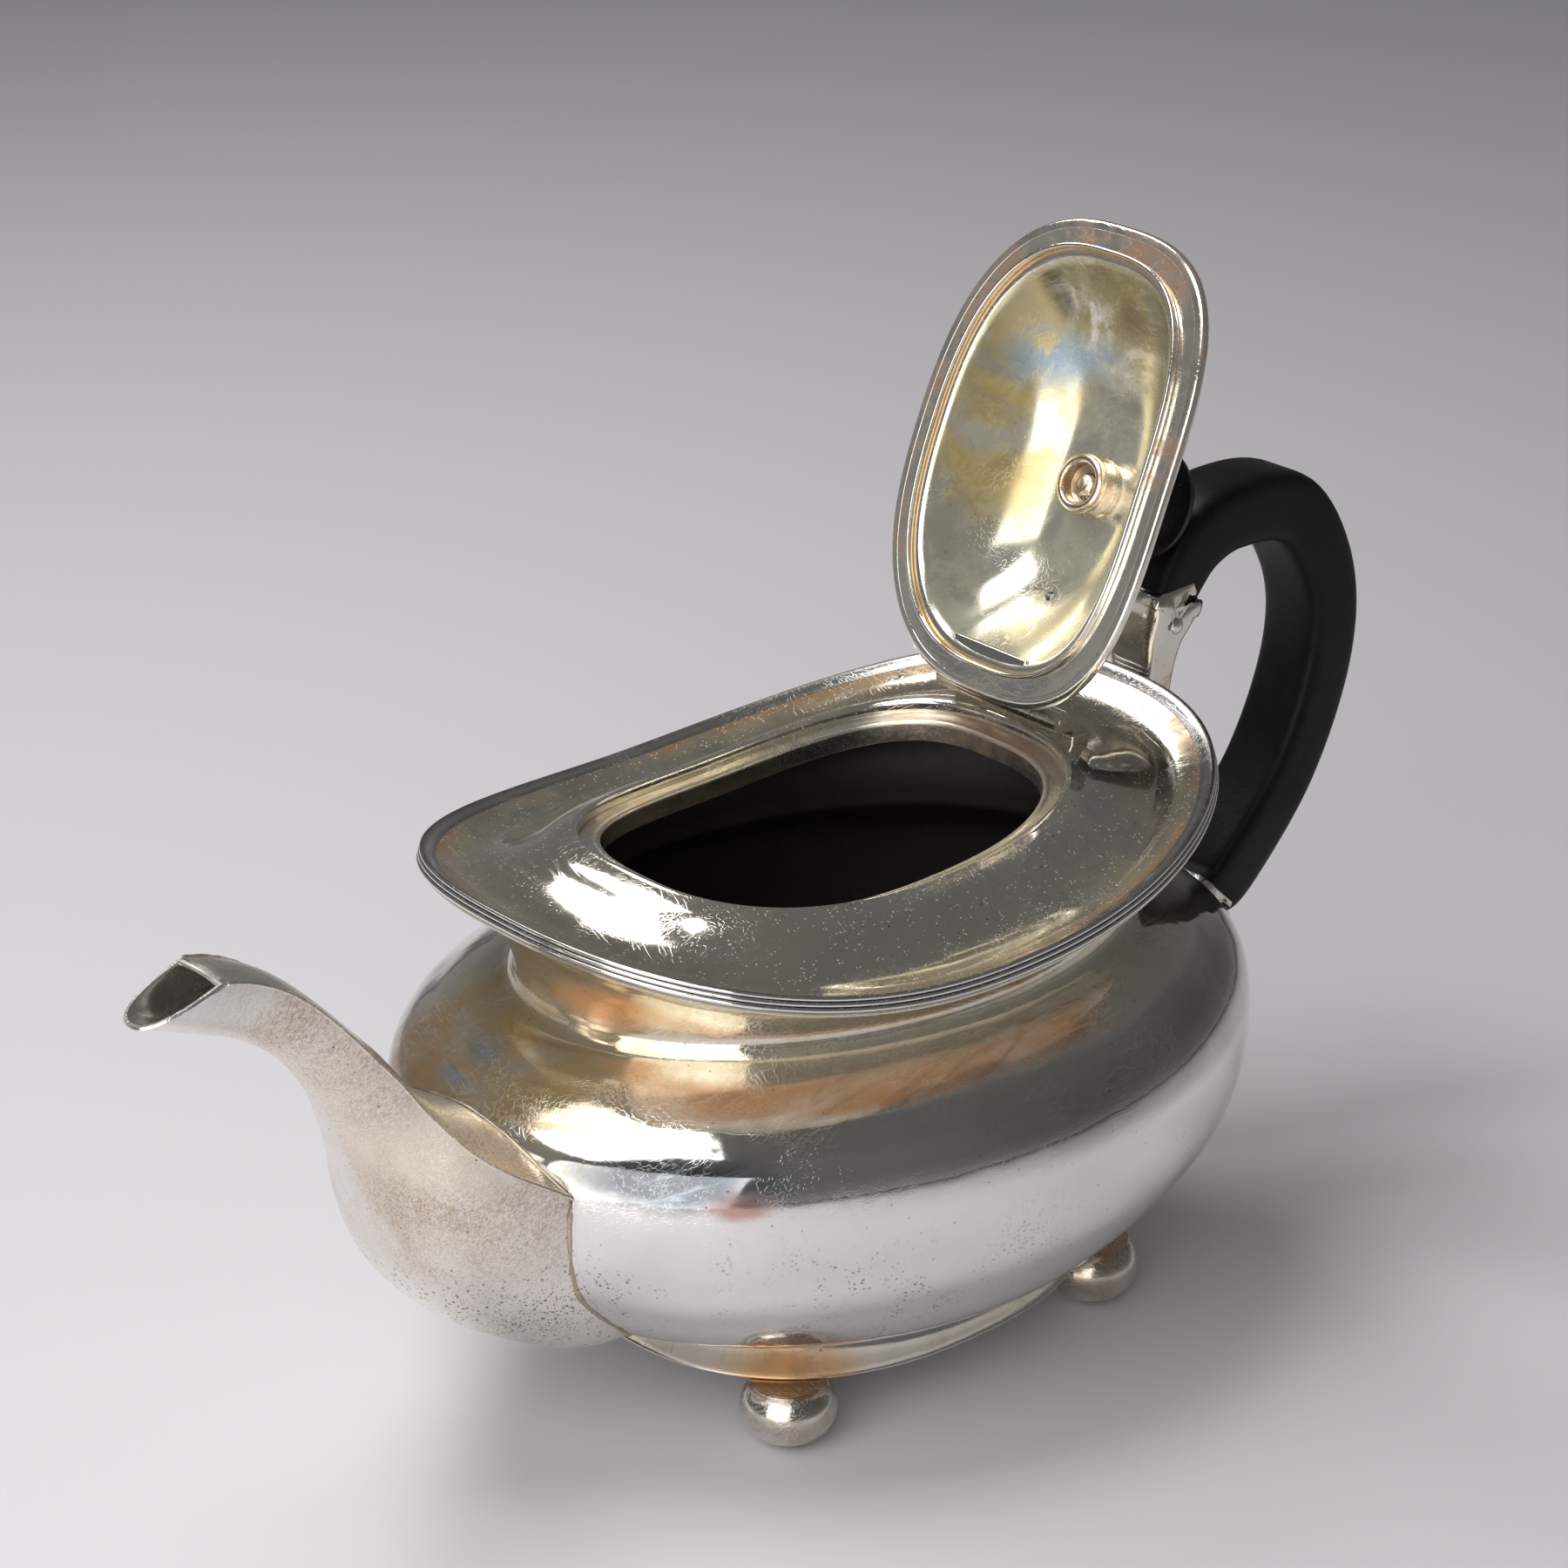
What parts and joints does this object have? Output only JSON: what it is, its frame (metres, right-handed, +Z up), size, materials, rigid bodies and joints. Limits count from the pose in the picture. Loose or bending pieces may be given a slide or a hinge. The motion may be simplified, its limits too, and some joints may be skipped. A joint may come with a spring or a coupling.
{
  "type": "silver teapot",
  "caption": "Oval bombe silver teapot with a swept reeded rim, hinged domed lid standing open, panel-topped spout, ebony loop handle and button finial, on a collar with ball feet.",
  "frame": {"origin": "on the table under the middle of the teapot's length, on its middle plane", "axes": "+X from the spout towards the handle, +Y towards the side on the right when the pot is seen from behind its spout, +Z up"},
  "size_m": [0.275, 0.1338, 0.1899],
  "materials": {
    "body_silver": "polished silver with soft scratches, golden and blue-grey tarnish on the shoulder",
    "rim_silver": "bright polished reeds with dark grooves",
    "cover_silver": "mirror polish with fine specks and brown tarnish towards the rim",
    "seat_silver": "polished, with tan and pinkish tarnish on the ledge",
    "spout_silver": "satin with fine warm hairlines and dark pits below",
    "collar_silver": "polished with blue and orange heat tint",
    "bottom_silver": "dull, tarnished and scuffed",
    "foot_silver": "polished balls with scuffs and brown tarnish at the joint",
    "socket_silver": "tarnished polish",
    "pin_silver": "worn polish",
    "hinge_silver": "worn polish with brown tarnish between knuckles",
    "lid_silver": "polished, olive, yellow and blue-grey tarnish clouds inside",
    "finial_silver": "polished, tarnished in the grooves",
    "stud_silver": "worn thread, dark in the roots",
    "nut_silver": "polished with brown tarnish in the bore",
    "handle_ebony": "black ebony with a soft sheen and a faint grain",
    "finial_ebony": "black ebony with a soft sheen"
  },
  "bodies": {
    "pot": {"body_shell": "body_silver", "rim_wire": "rim_silver", "cover": "cover_silver", "seat_bezel": "seat_silver", "spout": "spout_silver", "base_collar": "collar_silver", "bottom_plate": "bottom_silver", "foot_front_left": "foot_silver", "foot_front_right": "foot_silver", "foot_rear_left": "foot_silver", "foot_rear_right": "foot_silver", "upper_socket": "socket_silver", "lower_socket": "socket_silver", "handle": "handle_ebony", "upper_handle_pin": "pin_silver", "lower_handle_pin": "pin_silver", "hinge_body_leaf": "hinge_silver", "hinge_pin": "pin_silver"},
    "lid": {"hinge_lid_leaf": "hinge_silver", "lid_dome": "lid_silver", "lid_bead": "lid_silver", "lid_ridge": "lid_silver", "finial_base": "finial_silver", "finial_button": "finial_ebony", "finial_stud": "stud_silver", "finial_nut": "nut_silver"}
  },
  "joints": [
    {"name": "lid_hinge", "type": "hinge", "parent": "pot", "child": "lid", "pos_m": [0.04925, 0, 0.1077], "axis": [0, -1, 0], "range_deg": [0, 114.7]}
  ]
}
